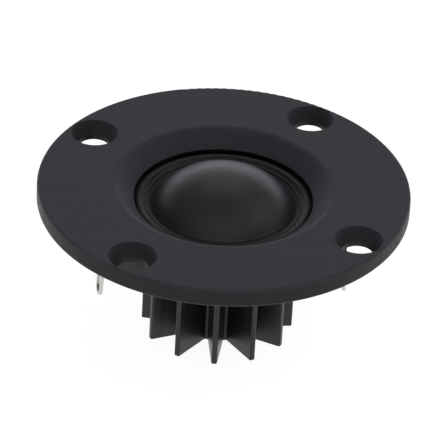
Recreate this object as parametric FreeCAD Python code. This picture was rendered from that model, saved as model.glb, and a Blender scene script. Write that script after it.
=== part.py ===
import FreeCAD, Part
import math
import os
from FreeCAD import Vector

# Flush-mount dome tweeter with a neodymium motor and a finned heat sink, one STEP file per piece.
# Units are millimetres. The origin is on the tweeter's axis in the plane of the flange's rear
# mounting face. +Z points out of the front, the way the sound leaves, and the two terminals lie
# on the X axis: the wide tab at +X and the narrow lug at -X.

# Driving dimensions: faceplate
FLANGE_RADIUS = 27.0
FLANGE_THICKNESS = 2.6
FLANGE_FRONT_ROUND = 0.4
FLANGE_BACK_ROUND = 0.25
SCREW_COUNT = 4
SCREW_CIRCLE_RADIUS = 23.0
SCREW_FIRST_ANGLE = 45.0
SCREW_HOLE_RADIUS = 2.25
SINK_RADIUS = 3.5
SINK_DEPTH = 1.9
MOUTH_RADIUS = 15.7
MOUTH_ROUND = 1.3
THROAT_RADIUS = 13.0
THROAT_DEPTH = 2.2
THROAT_ROUND = 0.12
BOSS_RADIUS = 18.35
BOSS_BORE_RADIUS = 17.05
BOSS_HEIGHT = 5.4
BOSS_RIM_ROUND = 0.5
BOSS_FOOT_ROUND = 1.0
EJECTOR_MARK_RADIUS = 1.7
EJECTOR_MARK_DEPTH = 0.1
EJECTOR_CIRCLE_RADIUS = 21.1
EJECTOR_SPREAD = 20.5
FOOT_LIP_REACH = 19.75
FOOT_LIP_CURVE = 6.5
FOOT_LIP_HEIGHT = 0.35

# Driving dimensions: diaphragm and its clamping stack
LIP_UNDERSIDE = -0.15
GASKET_THICKNESS = 0.3
FABRIC_THICKNESS = 0.18
DOME_RADIUS = 10.3
DOME_TOP = 4.45
ROLL_INNER_RADIUS = 11.4
ROLL_OUTER_RADIUS = 12.95
ROLL_HEIGHT = 0.45
FABRIC_RIM_RADIUS = 15.6
GASKET_INNER_RADIUS = 13.3
RING_RADIUS = 15.8
JOIN_GAP = 0.02

# Driving dimensions: motor
MOTOR_FRONT = -1.6
CUP_RADIUS = 13.7
CUP_BORE_RADIUS = 10.75
CUP_REAR = -9.0
CUP_FLOOR_THICKNESS = 1.6
CUP_REAR_ROUND = 1.1
CUP_FRONT_CHAMFER = 0.2
POLE_RADIUS = 9.65
POLE_THICKNESS = 2.2
POLE_CHAMFER = 0.15
MAGNET_RADIUS = 8.5
GLUE_FILM = 0.1
FORMER_INNER_RADIUS = 9.95
FORMER_WALL = 0.1
FORMER_LENGTH = 3.3
COIL_RADIUS = 10.4
COIL_LENGTH = 1.6
COIL_OFFSET = 0.3
PAD_RADIUS = 8.2
PAD_THICKNESS = 1.0

# Driving dimensions: rear terminal ring
TERMINAL_RING_RADIUS = 16.6
TERMINAL_RING_BORE = 14.8
TERMINAL_RING_FRONT = -1.65
TERMINAL_RING_REAR = -5.2
COLLAR_LENGTH = 1.9
RING_FIT = 0.04
RIB_WIDTH = 0.45
RIB_HEIGHT = 0.25
TONGUE_WIDTH = 8.2
TONGUE_INNER_RADIUS = 16.0
TONGUE_RADIUS = 18.85
TONGUE_END = -0.55
TONGUE_CORNER = 1.1
TONGUE_GAP = 0.15
PANEL_MARGIN = 0.75
PANEL_DEPTH = 0.25
PEDESTAL_WIDTH = 7.4
PEDESTAL_RADIUS = 18.4
PEDESTAL_REAR = -8.1

# Driving dimensions: terminals and leads
TERMINAL_THICKNESS = 0.5
TERMINAL_PLACE = 17.6
TERMINAL_SLOT_FIT = 0.03
PRONG_LENGTH = 3.4
PRONG_WIDTH = 2.4
TAB_WIDTH = 5.2
TAB_FOOT_WIDTH = 7.2
TAB_FOOT_HEIGHT = 1.7
TAB_TIP = -16.1
TAB_CORNER_RADIUS = 0.6
TAB_HOLE_RADIUS = 0.8
TAB_HOLE_FROM_TIP = 2.1
LUG_WIDTH = 2.8
LUG_FOOT_WIDTH = 4.8
LUG_FOOT_HEIGHT = 1.5
LUG_TIP = -14.8
LUG_SLOT_WIDTH = 1.8
LUG_SLOT_LENGTH = 3.4
LUG_SLOT_FROM_TIP = 0.5
LEAD_HOLE_RADIUS = 0.55
LEAD_HOLE_RISE = 0.8
LEAD_RADIUS = 0.175
LEAD_BEND_RADIUS = 0.5
LEAD_HEIGHT = -1.1
LEAD_CHANNEL_PLACE = 16.7
LEAD_CHANNEL_RADIUS = 0.35
FLEX_LEAD_RADIUS = 0.1
FLEX_LEAD_SAG = 0.16
FLEX_LEAD_GAP = 0.06
SOLDER_RADIUS = 0.75
SOLDER_HEIGHT = 0.2

# Driving dimensions: heat sink
FIN_COUNT = 12
FIN_FIRST_ANGLE = 17.0
FIN_RADIUS = 11.1
FIN_TIP_THICKNESS = 0.8
FIN_ROOT_THICKNESS = 2.3
FIN_ROOT_SINK = 0.4
FIN_TIP_ROUND = 0.2
FIN_ROOT_ROUND = 0.2
HUB_RADIUS = 5.2
HUB_BORE_RADIUS = 4.5
HEAT_SINK_REAR = -21.3
HEAT_SINK_GLUE = 0.12
GLUE_INSET = 0.15

# Driving dimensions: glue bead round the cup
BEAD_GAP = 0.02
BEAD_DEPTH = 0.9

# Heights that follow from the stack
FABRIC_TOP = LIP_UNDERSIDE - GASKET_THICKNESS
FABRIC_LOW = FABRIC_TOP - FABRIC_THICKNESS
THROAT_EDGE = FLANGE_THICKNESS - THROAT_DEPTH
CUP_FLOOR = CUP_REAR + CUP_FLOOR_THICKNESS
POLE_REAR = MOTOR_FRONT - POLE_THICKNESS
FORMER_RADIUS = FORMER_INNER_RADIUS + FORMER_WALL
COIL_FRONT = MOTOR_FRONT - COIL_OFFSET
HEAT_SINK_FRONT = CUP_REAR - HEAT_SINK_GLUE
LEAD_HOLE_HEIGHT = PEDESTAL_REAR - LEAD_HOLE_RISE
COLLAR_REAR = TERMINAL_RING_FRONT - COLLAR_LENGTH

FULL_TURN = 360.0
HALF_TURN = 180.0
QUARTER_TURN = 90.0
OVERCUT = 1.0
AXIS = Vector(0, 0, 1)
CENTRE = Vector(0, 0, 0)


def save(shape, name):
    """Write one sub-part as parts/NAME.step."""
    shape.exportStep(os.path.join("parts", name + ".step"))


def point(radius, height):
    """A point of a turned outline, in the XZ plane."""
    return Vector(radius, 0, height)


def line(start, end):
    return Part.LineSegment(start, end).toShape()


def arc(start, middle, end):
    return Part.Arc(start, middle, end).toShape()


def turned(edges):
    """A solid of revolution about Z from the closed outline that the edges make."""
    face = Part.Face(Part.Wire(edges))
    return face.revolve(CENTRE, AXIS, FULL_TURN)


def outline(points):
    """The straight edges that join the points and close the loop."""
    ends = points[1:] + points[:1]
    return [line(start, end) for start, end in zip(points, ends)]


def disc(radius, low, high):
    return Part.makeCylinder(radius, high - low, Vector(0, 0, low))


def ring(inner_radius, outer_radius, low, high):
    return disc(outer_radius, low, high).cut(disc(inner_radius, low, high))


def bar_along_x(radius, start, end, y, z):
    """A round bar parallel to X."""
    return Part.makeCylinder(radius, end - start, Vector(start, y, z), Vector(1, 0, 0))


def box(low, high):
    return Part.makeBox(high.x - low.x, high.y - low.y, high.z - low.z, low)


def turn(shape, degrees):
    """A copy of the shape turned about the tweeter's axis."""
    copy = shape.copy()
    copy.rotate(CENTRE, AXIS, degrees)
    return copy


def circle_edges(shape, radius, height):
    """The shape's full-circle edges of one radius about the axis at one height."""
    tolerance = 0.001
    found = []
    for edge in shape.Edges:
        curve = edge.Curve
        if not isinstance(curve, Part.Circle):
            continue
        on_axis = math.hypot(curve.Center.x, curve.Center.y) < tolerance
        at_height = abs(curve.Center.z - height) < tolerance
        if on_axis and at_height and abs(curve.Radius - radius) < tolerance:
            found.append(edge)
    return found


def rounded(shape, size, radius, height):
    return shape.makeFillet(size, circle_edges(shape, radius, height))


def bevelled(shape, size, radius, height):
    return shape.makeChamfer(size, circle_edges(shape, radius, height))


def plate(points, low_x, thickness):
    """A flat plate parallel to the YZ plane from its outline in Y and Z."""
    corners = [Vector(low_x, y, z) for y, z in points]
    return Part.Face(Part.Wire(outline(corners))).extrude(Vector(thickness, 0, 0))


def edges_along_x(shape, height):
    """The straight-sided shape's edges parallel to X at one height."""
    tolerance = 0.001
    found = []
    for edge in shape.Edges:
        first, last = [vertex.Point for vertex in edge.Vertexes]
        along_x = abs(first.x - last.x) > tolerance
        if along_x and abs(first.z - height) < tolerance:
            found.append(edge)
    return found


def rounded_upright_box(low, high, corner_radius, rounded_heights):
    """A box whose edges along X are rounded at the named heights."""
    body = box(low, high)
    for height in rounded_heights:
        body = body.makeFillet(corner_radius, edges_along_x(body, height))
    return body


def on_both_sides(piece):
    """The piece at +X and its twin half a turn away."""
    return [piece, turn(piece, HALF_TURN)]


def screw_hole():
    """A countersunk clearance hole on the X axis."""
    shaft = Part.makeCylinder(
        SCREW_HOLE_RADIUS,
        FLANGE_THICKNESS + 2 * OVERCUT,
        Vector(SCREW_CIRCLE_RADIUS, 0, -OVERCUT),
    )
    growth = (SINK_RADIUS - SCREW_HOLE_RADIUS) / SINK_DEPTH
    sink = Part.makeCone(
        SCREW_HOLE_RADIUS,
        SINK_RADIUS + growth * OVERCUT,
        SINK_DEPTH + OVERCUT,
        Vector(SCREW_CIRCLE_RADIUS, 0, FLANGE_THICKNESS - SINK_DEPTH),
    )
    return shaft.fuse(sink)


def tongue_outline(margin):
    """The tongue's rounded block, grown by the margin on its sides and end, still flat-faced."""
    return rounded_upright_box(
        Vector(TONGUE_INNER_RADIUS - OVERCUT, -TONGUE_WIDTH / 2 - margin, PEDESTAL_REAR - OVERCUT),
        Vector(TONGUE_RADIUS + OVERCUT, TONGUE_WIDTH / 2 + margin, TONGUE_END + margin),
        TONGUE_CORNER + margin,
        [TONGUE_END + margin],
    )


def foot_lip():
    """The low curved lip on the flange at the foot of a tongue."""
    bulge = Part.makeCylinder(
        FOOT_LIP_CURVE, FOOT_LIP_HEIGHT, Vector(FOOT_LIP_REACH - FOOT_LIP_CURVE, 0, -FOOT_LIP_HEIGHT)
    )
    reach = box(
        Vector(BOSS_RADIUS - BOSS_FOOT_ROUND, -TONGUE_WIDTH / 2, -FOOT_LIP_HEIGHT),
        Vector(FOOT_LIP_REACH, TONGUE_WIDTH / 2, 0),
    )
    return bulge.common(reach)


def faceplate():
    """The flange with its short horn, and the tubular boss behind it."""
    body = turned(outline([
        point(THROAT_RADIUS, LIP_UNDERSIDE),
        point(BOSS_BORE_RADIUS, LIP_UNDERSIDE),
        point(BOSS_BORE_RADIUS, -BOSS_HEIGHT),
        point(BOSS_RADIUS, -BOSS_HEIGHT),
        point(BOSS_RADIUS, 0),
        point(FLANGE_RADIUS, 0),
        point(FLANGE_RADIUS, FLANGE_THICKNESS),
        point(MOUTH_RADIUS, FLANGE_THICKNESS),
        point(THROAT_RADIUS, THROAT_EDGE),
    ]))
    body = rounded(body, FLANGE_FRONT_ROUND, FLANGE_RADIUS, FLANGE_THICKNESS)
    body = rounded(body, FLANGE_BACK_ROUND, FLANGE_RADIUS, 0)
    body = rounded(body, MOUTH_ROUND, MOUTH_RADIUS, FLANGE_THICKNESS)
    body = rounded(body, THROAT_ROUND, THROAT_RADIUS, THROAT_EDGE)
    body = rounded(body, BOSS_RIM_ROUND, BOSS_RADIUS, -BOSS_HEIGHT)
    body = rounded(body, BOSS_FOOT_ROUND, BOSS_RADIUS, 0)
    for index in range(SCREW_COUNT):
        body = body.cut(turn(screw_hole(), SCREW_FIRST_ANGLE + index * FULL_TURN / SCREW_COUNT))
    reach = ring(BOSS_BORE_RADIUS - OVERCUT, TONGUE_RADIUS + TONGUE_GAP, -BOSS_HEIGHT - OVERCUT, 0)
    notch = tongue_outline(TONGUE_GAP).common(reach)
    for lip, cut in zip(on_both_sides(foot_lip()), on_both_sides(notch)):
        body = body.fuse(lip)
        body = body.cut(cut)
    mark = Part.makeCylinder(
        EJECTOR_MARK_RADIUS, EJECTOR_MARK_DEPTH + OVERCUT, Vector(EJECTOR_CIRCLE_RADIUS, 0, -OVERCUT)
    )
    for side in (-QUARTER_TURN, QUARTER_TURN):
        for spread in (-EJECTOR_SPREAD, EJECTOR_SPREAD):
            body = body.cut(turn(mark, side + spread))
    return body.removeSplitter()


def sphere_radius(base_radius, height):
    """The radius of the sphere whose cap has this base radius and height."""
    return (base_radius ** 2 + height ** 2) / (2 * height)


def dome():
    """The pressed fabric dome, with the flat seat that the former is glued to."""
    outer = sphere_radius(DOME_RADIUS, DOME_TOP - FABRIC_TOP)
    inner = outer - FABRIC_THICKNESS
    middle_height = DOME_TOP - outer
    seat_radius = DOME_RADIUS + FABRIC_THICKNESS / 2
    inner_seat_radius = math.sqrt(inner ** 2 - (FABRIC_LOW - middle_height) ** 2)
    half_angle = math.asin(DOME_RADIUS / outer) / 2
    inner_half_angle = math.asin(inner_seat_radius / inner) / 2
    outer_middle = point(outer * math.sin(half_angle), middle_height + outer * math.cos(half_angle))
    inner_middle = point(
        inner * math.sin(inner_half_angle), middle_height + inner * math.cos(inner_half_angle)
    )
    top = point(0, DOME_TOP)
    under_top = point(0, DOME_TOP - FABRIC_THICKNESS)
    base = point(DOME_RADIUS, FABRIC_TOP)
    rim_top = point(seat_radius, FABRIC_TOP)
    rim_low = point(seat_radius, FABRIC_LOW)
    under_base = point(inner_seat_radius, FABRIC_LOW)
    return turned([
        arc(top, outer_middle, base),
        line(base, rim_top),
        line(rim_top, rim_low),
        line(rim_low, under_base),
        arc(under_base, inner_middle, under_top),
        line(under_top, top),
    ])


def surround():
    """The half-roll suspension, from the dome's rim to the clamped outer rim."""
    inner_edge = DOME_RADIUS + FABRIC_THICKNESS / 2 + JOIN_GAP
    crown = (ROLL_INNER_RADIUS + ROLL_OUTER_RADIUS) / 2
    inner_edge_top = point(inner_edge, FABRIC_TOP)
    roll_start = point(ROLL_INNER_RADIUS, FABRIC_TOP)
    roll_top = point(crown, FABRIC_TOP + ROLL_HEIGHT)
    roll_end = point(ROLL_OUTER_RADIUS, FABRIC_TOP)
    rim_top = point(FABRIC_RIM_RADIUS, FABRIC_TOP)
    rim_low = point(FABRIC_RIM_RADIUS, FABRIC_LOW)
    under_end = point(ROLL_OUTER_RADIUS - FABRIC_THICKNESS, FABRIC_LOW)
    under_top = point(crown, FABRIC_TOP + ROLL_HEIGHT - FABRIC_THICKNESS)
    under_start = point(ROLL_INNER_RADIUS + FABRIC_THICKNESS, FABRIC_LOW)
    inner_edge_low = point(inner_edge, FABRIC_LOW)
    return turned([
        line(inner_edge_top, roll_start),
        arc(roll_start, roll_top, roll_end),
        line(roll_end, rim_top),
        line(rim_top, rim_low),
        line(rim_low, under_end),
        arc(under_end, under_top, under_start),
        line(under_start, inner_edge_low),
        line(inner_edge_low, inner_edge_top),
    ])


def front_gasket():
    return ring(GASKET_INNER_RADIUS, FABRIC_RIM_RADIUS, FABRIC_TOP, LIP_UNDERSIDE)


def diaphragm_ring():
    """The plastic ring under the surround's rim, with a radial slot for each lead."""
    body = ring(THROAT_RADIUS, RING_RADIUS, MOTOR_FRONT, FABRIC_LOW)
    slot = box(
        Vector(THROAT_RADIUS - OVERCUT, -LEAD_CHANNEL_RADIUS, MOTOR_FRONT - OVERCUT),
        Vector(RING_RADIUS + OVERCUT, LEAD_CHANNEL_RADIUS, FABRIC_LOW - FABRIC_THICKNESS),
    )
    for cut in on_both_sides(slot):
        body = body.cut(cut)
    return body


def coil_former():
    return ring(FORMER_INNER_RADIUS, FORMER_RADIUS, FABRIC_LOW - FORMER_LENGTH, FABRIC_LOW)


def voice_coil():
    return ring(FORMER_RADIUS, COIL_RADIUS, COIL_FRONT - COIL_LENGTH, COIL_FRONT)


def dome_glue():
    """The fillet of glue in the corner between the former and the dome's seat."""
    leg = DOME_RADIUS - FORMER_RADIUS
    return turned(outline([
        point(FORMER_RADIUS, FABRIC_LOW),
        point(FORMER_RADIUS + leg, FABRIC_LOW),
        point(FORMER_RADIUS, FABRIC_LOW - leg),
    ]))


def motor_cup():
    """The pressed steel pot that is both the magnet's return path and the outer pole."""
    body = disc(CUP_RADIUS, CUP_REAR, MOTOR_FRONT).cut(
        disc(CUP_BORE_RADIUS, CUP_FLOOR, MOTOR_FRONT + OVERCUT)
    )
    body = rounded(body, CUP_REAR_ROUND, CUP_RADIUS, CUP_REAR)
    return bevelled(body, CUP_FRONT_CHAMFER, CUP_RADIUS, MOTOR_FRONT)


def magnet():
    return disc(MAGNET_RADIUS, CUP_FLOOR + GLUE_FILM, POLE_REAR - GLUE_FILM)


def magnet_glue():
    """The two thin films of glue, under the magnet and over it."""
    return Part.makeCompound([
        disc(MAGNET_RADIUS - GLUE_INSET, CUP_FLOOR, CUP_FLOOR + GLUE_FILM),
        disc(MAGNET_RADIUS - GLUE_INSET, POLE_REAR - GLUE_FILM, POLE_REAR),
    ])


def pole_piece():
    body = disc(POLE_RADIUS, POLE_REAR, MOTOR_FRONT)
    body = bevelled(body, POLE_CHAMFER, POLE_RADIUS, MOTOR_FRONT)
    return bevelled(body, POLE_CHAMFER, POLE_RADIUS, POLE_REAR)


def damping_pad():
    return disc(PAD_RADIUS, MOTOR_FRONT, MOTOR_FRONT + PAD_THICKNESS)


def tongue():
    """One terminal block: a tongue that fills the boss's notch and a pedestal behind the rim."""
    face = tongue_outline(0).common(
        ring(TONGUE_INNER_RADIUS, TONGUE_RADIUS, -BOSS_HEIGHT, TONGUE_END)
    )
    panel = rounded_upright_box(
        Vector(TONGUE_INNER_RADIUS, -TONGUE_WIDTH / 2 + PANEL_MARGIN, -BOSS_HEIGHT + PANEL_MARGIN),
        Vector(TONGUE_RADIUS + OVERCUT, TONGUE_WIDTH / 2 - PANEL_MARGIN, TONGUE_END - PANEL_MARGIN),
        TONGUE_CORNER - PANEL_MARGIN / 2,
        [-BOSS_HEIGHT + PANEL_MARGIN, TONGUE_END - PANEL_MARGIN],
    )
    panel = panel.common(
        ring(TONGUE_RADIUS - PANEL_DEPTH, TONGUE_RADIUS + OVERCUT, -BOSS_HEIGHT, TONGUE_END)
    )
    pedestal = box(
        Vector(TONGUE_INNER_RADIUS, -PEDESTAL_WIDTH / 2, PEDESTAL_REAR),
        Vector(TONGUE_RADIUS, PEDESTAL_WIDTH / 2, -BOSS_HEIGHT),
    )
    pedestal = pedestal.common(
        ring(TONGUE_INNER_RADIUS, PEDESTAL_RADIUS, PEDESTAL_REAR, -BOSS_HEIGHT)
    )
    return face.cut(panel).fuse(pedestal)


def prong_slot():
    """The slot in a pedestal that grips a terminal's prong."""
    half_thickness = TERMINAL_THICKNESS / 2 + TERMINAL_SLOT_FIT
    half_width = PRONG_WIDTH / 2 + TERMINAL_SLOT_FIT
    return box(
        Vector(TERMINAL_PLACE - half_thickness, -half_width, PEDESTAL_REAR - OVERCUT),
        Vector(TERMINAL_PLACE + half_thickness, half_width, PEDESTAL_REAR + PRONG_LENGTH),
    )


def lead_channel():
    """The upright hole and the entry slot that bring a lead through a terminal block."""
    hole = Part.makeCylinder(
        LEAD_CHANNEL_RADIUS,
        TONGUE_END - PEDESTAL_REAR + 2 * OVERCUT,
        Vector(LEAD_CHANNEL_PLACE, 0, PEDESTAL_REAR - OVERCUT),
    )
    entry = box(
        Vector(TONGUE_INNER_RADIUS - OVERCUT, -LEAD_CHANNEL_RADIUS, TERMINAL_RING_FRONT),
        Vector(LEAD_CHANNEL_PLACE, LEAD_CHANNEL_RADIUS, TONGUE_END + OVERCUT),
    )
    return hole.fuse(entry)


def terminal_ring():
    """The ring behind the diaphragm that holds the cup and carries both terminals."""
    rib_radius = TERMINAL_RING_RADIUS - RIB_WIDTH
    body = turned(outline([
        point(CUP_RADIUS + RING_FIT, TERMINAL_RING_FRONT),
        point(TERMINAL_RING_RADIUS, TERMINAL_RING_FRONT),
        point(TERMINAL_RING_RADIUS, TERMINAL_RING_REAR - RIB_HEIGHT),
        point(rib_radius, TERMINAL_RING_REAR - RIB_HEIGHT),
        point(rib_radius, TERMINAL_RING_REAR),
        point(TERMINAL_RING_BORE, TERMINAL_RING_REAR),
        point(TERMINAL_RING_BORE, COLLAR_REAR),
        point(CUP_RADIUS + RING_FIT, COLLAR_REAR),
    ]))
    for block in on_both_sides(tongue()):
        body = body.fuse(block)
    for cut in on_both_sides(prong_slot().fuse(lead_channel())):
        body = body.cut(cut)
    return body.removeSplitter()


def retaining_glue():
    """The bead of epoxy in the channel between the cup and the terminal ring."""
    return ring(
        CUP_RADIUS + BEAD_GAP, TERMINAL_RING_BORE - BEAD_GAP, COLLAR_REAR - BEAD_DEPTH, COLLAR_REAR
    )


def foot_outline(half_width, foot_half_width, foot_height):
    """One side of a terminal from its prong's end to the top of its sloped shoulder."""
    shoulder = foot_half_width - half_width
    return [
        (PRONG_WIDTH / 2, PEDESTAL_REAR + PRONG_LENGTH),
        (PRONG_WIDTH / 2, PEDESTAL_REAR),
        (foot_half_width, PEDESTAL_REAR),
        (foot_half_width, PEDESTAL_REAR - foot_height),
        (half_width, PEDESTAL_REAR - foot_height - shoulder),
    ]


def terminal_hole(radius, height):
    """A bar to cut a hole through a terminal."""
    return bar_along_x(radius, TERMINAL_PLACE - OVERCUT, TERMINAL_PLACE + OVERCUT, 0, height)


def terminal(width, foot_width, foot_height, tip, corner_radius):
    """A stamped terminal standing on its pedestal, with round corners and its lead hole."""
    side = foot_outline(width / 2, foot_width / 2, foot_height)
    side.append((width / 2, tip))
    mirrored = [(-y, z) for y, z in reversed(side)]
    body = plate(side + mirrored, TERMINAL_PLACE - TERMINAL_THICKNESS / 2, TERMINAL_THICKNESS)
    body = body.makeFillet(corner_radius, edges_along_x(body, tip))
    return body.cut(terminal_hole(LEAD_HOLE_RADIUS, LEAD_HOLE_HEIGHT))


def terminal_tab_positive():
    """The wide push-on tab with its round latch hole."""
    body = terminal(TAB_WIDTH, TAB_FOOT_WIDTH, TAB_FOOT_HEIGHT, TAB_TIP, TAB_CORNER_RADIUS)
    return body.cut(terminal_hole(TAB_HOLE_RADIUS, TAB_TIP + TAB_HOLE_FROM_TIP))


def terminal_lug_negative():
    """The narrow lug with its round end and its long wire slot, on the far side."""
    end_radius = LUG_WIDTH / 2 - JOIN_GAP
    body = terminal(LUG_WIDTH, LUG_FOOT_WIDTH, LUG_FOOT_HEIGHT, LUG_TIP, end_radius)
    slot_low = LUG_TIP + LUG_SLOT_FROM_TIP
    slot = rounded_upright_box(
        Vector(TERMINAL_PLACE - OVERCUT, -LUG_SLOT_WIDTH / 2, slot_low),
        Vector(TERMINAL_PLACE + OVERCUT, LUG_SLOT_WIDTH / 2, slot_low + LUG_SLOT_LENGTH),
        LUG_SLOT_WIDTH / 2 - JOIN_GAP,
        [slot_low, slot_low + LUG_SLOT_LENGTH],
    )
    return turn(body.cut(slot), HALF_TURN)


def pipe(points, bend_radius, wire_radius):
    """A round wire through the points, in the XZ plane, with tangent arcs at its corners."""
    edges = []
    start = points[0]
    for before, corner, after in zip(points, points[1:], points[2:]):
        towards = Vector(before - corner).normalize()
        away = Vector(after - corner).normalize()
        half_turn = (math.pi - towards.getAngle(away)) / 2
        reach = bend_radius * math.tan(half_turn)
        bend_start = corner + towards * reach
        bend_end = corner + away * reach
        inward = Vector(towards + away).normalize()
        centre = corner + inward * (bend_radius / math.cos(half_turn))
        middle = centre - inward * bend_radius
        edges.append(line(start, bend_start))
        edges.append(arc(bend_start, middle, bend_end))
        start = bend_end
    edges.append(line(start, points[-1]))
    path = Part.Wire(edges)
    circle = Part.Wire(Part.Circle(points[0], points[1] - points[0], wire_radius).toShape())
    return path.makePipeShell([circle], True, False)


def fixed_lead():
    """The lead from the diaphragm ring's slot, through the terminal block, to the terminal."""
    return pipe(
        [
            point(THROAT_RADIUS + JOIN_GAP, LEAD_HEIGHT),
            point(LEAD_CHANNEL_PLACE, LEAD_HEIGHT),
            point(LEAD_CHANNEL_PLACE, LEAD_HOLE_HEIGHT),
            point(TERMINAL_PLACE, LEAD_HOLE_HEIGHT),
        ],
        LEAD_BEND_RADIUS,
        LEAD_RADIUS,
    )


def flexible_lead():
    """The fine lead that loops from the former to the fixed lead under the surround."""
    start = FORMER_RADIUS + FLEX_LEAD_GAP
    end = THROAT_RADIUS - FLEX_LEAD_GAP
    middle = (start + end) / 2
    start_point = point(start, LEAD_HEIGHT)
    end_point = point(end, LEAD_HEIGHT)
    curve = Part.Arc(start_point, point(middle, LEAD_HEIGHT - FLEX_LEAD_SAG), end_point)
    direction = Vector(*curve.tangent(curve.FirstParameter)[0])
    circle = Part.Wire(Part.Circle(start_point, direction, FLEX_LEAD_RADIUS).toShape())
    return Part.Wire(curve.toShape()).makePipeShell([circle], True, False)


def solder_joint():
    """The cone of solder round the lead's end on the terminal's inner face."""
    face = TERMINAL_PLACE - TERMINAL_THICKNESS / 2
    cone = Part.makeCone(
        SOLDER_RADIUS,
        SOLDER_RADIUS - SOLDER_HEIGHT,
        SOLDER_HEIGHT,
        Vector(face, 0, LEAD_HOLE_HEIGHT),
        Vector(-1, 0, 0),
    )
    return cone.cut(terminal_hole(LEAD_RADIUS + JOIN_GAP, LEAD_HOLE_HEIGHT))


def star(low, high, inset):
    """The heat sink's section, extruded: a hub and its tapered fins."""
    root = HUB_RADIUS - FIN_ROOT_SINK
    tip = FIN_RADIUS - inset
    half_root = FIN_ROOT_THICKNESS / 2 - inset
    half_tip = FIN_TIP_THICKNESS / 2 - inset
    corners = [
        Vector(root, -half_root, low),
        Vector(tip, -half_tip, low),
        Vector(tip, half_tip, low),
        Vector(root, half_root, low),
    ]
    fin = Part.Face(Part.Wire(outline(corners))).extrude(Vector(0, 0, high - low))
    body = disc(HUB_RADIUS - inset, low, high)
    for index in range(FIN_COUNT):
        body = body.fuse(turn(fin, FIN_FIRST_ANGLE + index * FULL_TURN / FIN_COUNT))
    return body.removeSplitter()


def upright_edges(shape, inner_radius, outer_radius):
    """The shape's edges parallel to the axis whose distance from it is in this range."""
    tolerance = 0.001
    found = []
    for edge in shape.Edges:
        middle = edge.CenterOfMass
        upright = abs(edge.BoundBox.ZLength - edge.Length) < tolerance
        if upright and inner_radius < math.hypot(middle.x, middle.y) < outer_radius:
            found.append(edge)
    return found


def heat_sink():
    """The extruded heat sink, its fins rounded at their tips and at the hub."""
    body = star(HEAT_SINK_REAR, HEAT_SINK_FRONT, 0)
    tips = upright_edges(body, FIN_RADIUS - JOIN_GAP, FIN_RADIUS + FIN_TIP_THICKNESS)
    body = body.makeFillet(FIN_TIP_ROUND, tips)
    roots = upright_edges(body, HUB_RADIUS - JOIN_GAP, HUB_RADIUS + JOIN_GAP)
    body = body.makeFillet(FIN_ROOT_ROUND, roots)
    return body.cut(disc(HUB_BORE_RADIUS, HEAT_SINK_REAR, HEAT_SINK_FRONT))


def heat_sink_glue():
    """The film of thermal glue between the heat sink and the cup."""
    film = star(HEAT_SINK_FRONT, CUP_REAR, GLUE_INSET)
    return film.cut(disc(HUB_BORE_RADIUS + GLUE_INSET, HEAT_SINK_FRONT, CUP_REAR))


os.makedirs("parts", exist_ok=True)

save(faceplate(), "faceplate")
save(front_gasket(), "front_gasket")
save(surround(), "surround")
save(dome(), "dome")
save(dome_glue(), "dome_glue")
save(coil_former(), "coil_former")
save(voice_coil(), "voice_coil")
save(diaphragm_ring(), "diaphragm_ring")
save(damping_pad(), "damping_pad")
save(pole_piece(), "pole_piece")
save(magnet(), "magnet")
save(magnet_glue(), "magnet_glue")
save(motor_cup(), "motor_cup")
save(terminal_ring(), "terminal_ring")
save(retaining_glue(), "retaining_glue")
save(heat_sink_glue(), "heat_sink_glue")
save(heat_sink(), "heat_sink")
save(terminal_tab_positive(), "terminal_tab_positive")
save(terminal_lug_negative(), "terminal_lug_negative")
for sign, angle in (("positive", 0), ("negative", HALF_TURN)):
    save(turn(fixed_lead(), angle), "fixed_lead_" + sign)
    save(turn(flexible_lead(), angle), "flexible_lead_" + sign)
    save(turn(solder_joint(), angle), "solder_joint_" + sign)
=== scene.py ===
import math

import bmesh
import bpy
from mathutils import Matrix, Vector, noise


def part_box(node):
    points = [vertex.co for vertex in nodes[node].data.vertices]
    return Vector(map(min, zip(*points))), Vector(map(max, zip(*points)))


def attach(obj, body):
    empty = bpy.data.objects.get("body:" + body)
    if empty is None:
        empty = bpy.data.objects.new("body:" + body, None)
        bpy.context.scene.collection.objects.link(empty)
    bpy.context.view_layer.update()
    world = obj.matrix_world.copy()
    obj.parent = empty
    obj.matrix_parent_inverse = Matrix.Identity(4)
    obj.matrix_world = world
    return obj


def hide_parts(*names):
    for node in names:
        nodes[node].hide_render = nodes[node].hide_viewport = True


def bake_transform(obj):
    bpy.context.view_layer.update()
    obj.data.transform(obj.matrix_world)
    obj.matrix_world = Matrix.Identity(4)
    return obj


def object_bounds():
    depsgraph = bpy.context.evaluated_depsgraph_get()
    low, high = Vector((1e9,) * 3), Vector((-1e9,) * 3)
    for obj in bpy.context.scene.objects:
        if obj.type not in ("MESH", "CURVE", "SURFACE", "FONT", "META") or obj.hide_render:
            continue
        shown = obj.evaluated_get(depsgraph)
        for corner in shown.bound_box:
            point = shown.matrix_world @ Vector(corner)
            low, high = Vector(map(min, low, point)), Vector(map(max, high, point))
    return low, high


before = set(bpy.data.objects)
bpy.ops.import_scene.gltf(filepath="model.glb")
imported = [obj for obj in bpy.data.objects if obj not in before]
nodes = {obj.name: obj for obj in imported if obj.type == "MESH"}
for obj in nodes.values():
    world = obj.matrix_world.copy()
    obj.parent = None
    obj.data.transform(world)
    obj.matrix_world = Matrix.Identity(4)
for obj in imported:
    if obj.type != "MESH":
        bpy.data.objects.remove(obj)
bpy.context.view_layer.update()
cad_low, cad_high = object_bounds()

# The part's lengths are millimetres, turned into metres by MM as a mesh or a node tree is made.
# The camera's, the lights' and FLOOR_RADII are metres.
MM = 0.001
TURN = 2 * math.pi
HOUSING = "housing"
DIAPHRAGM = "diaphragm"
scene = bpy.context.scene

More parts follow.
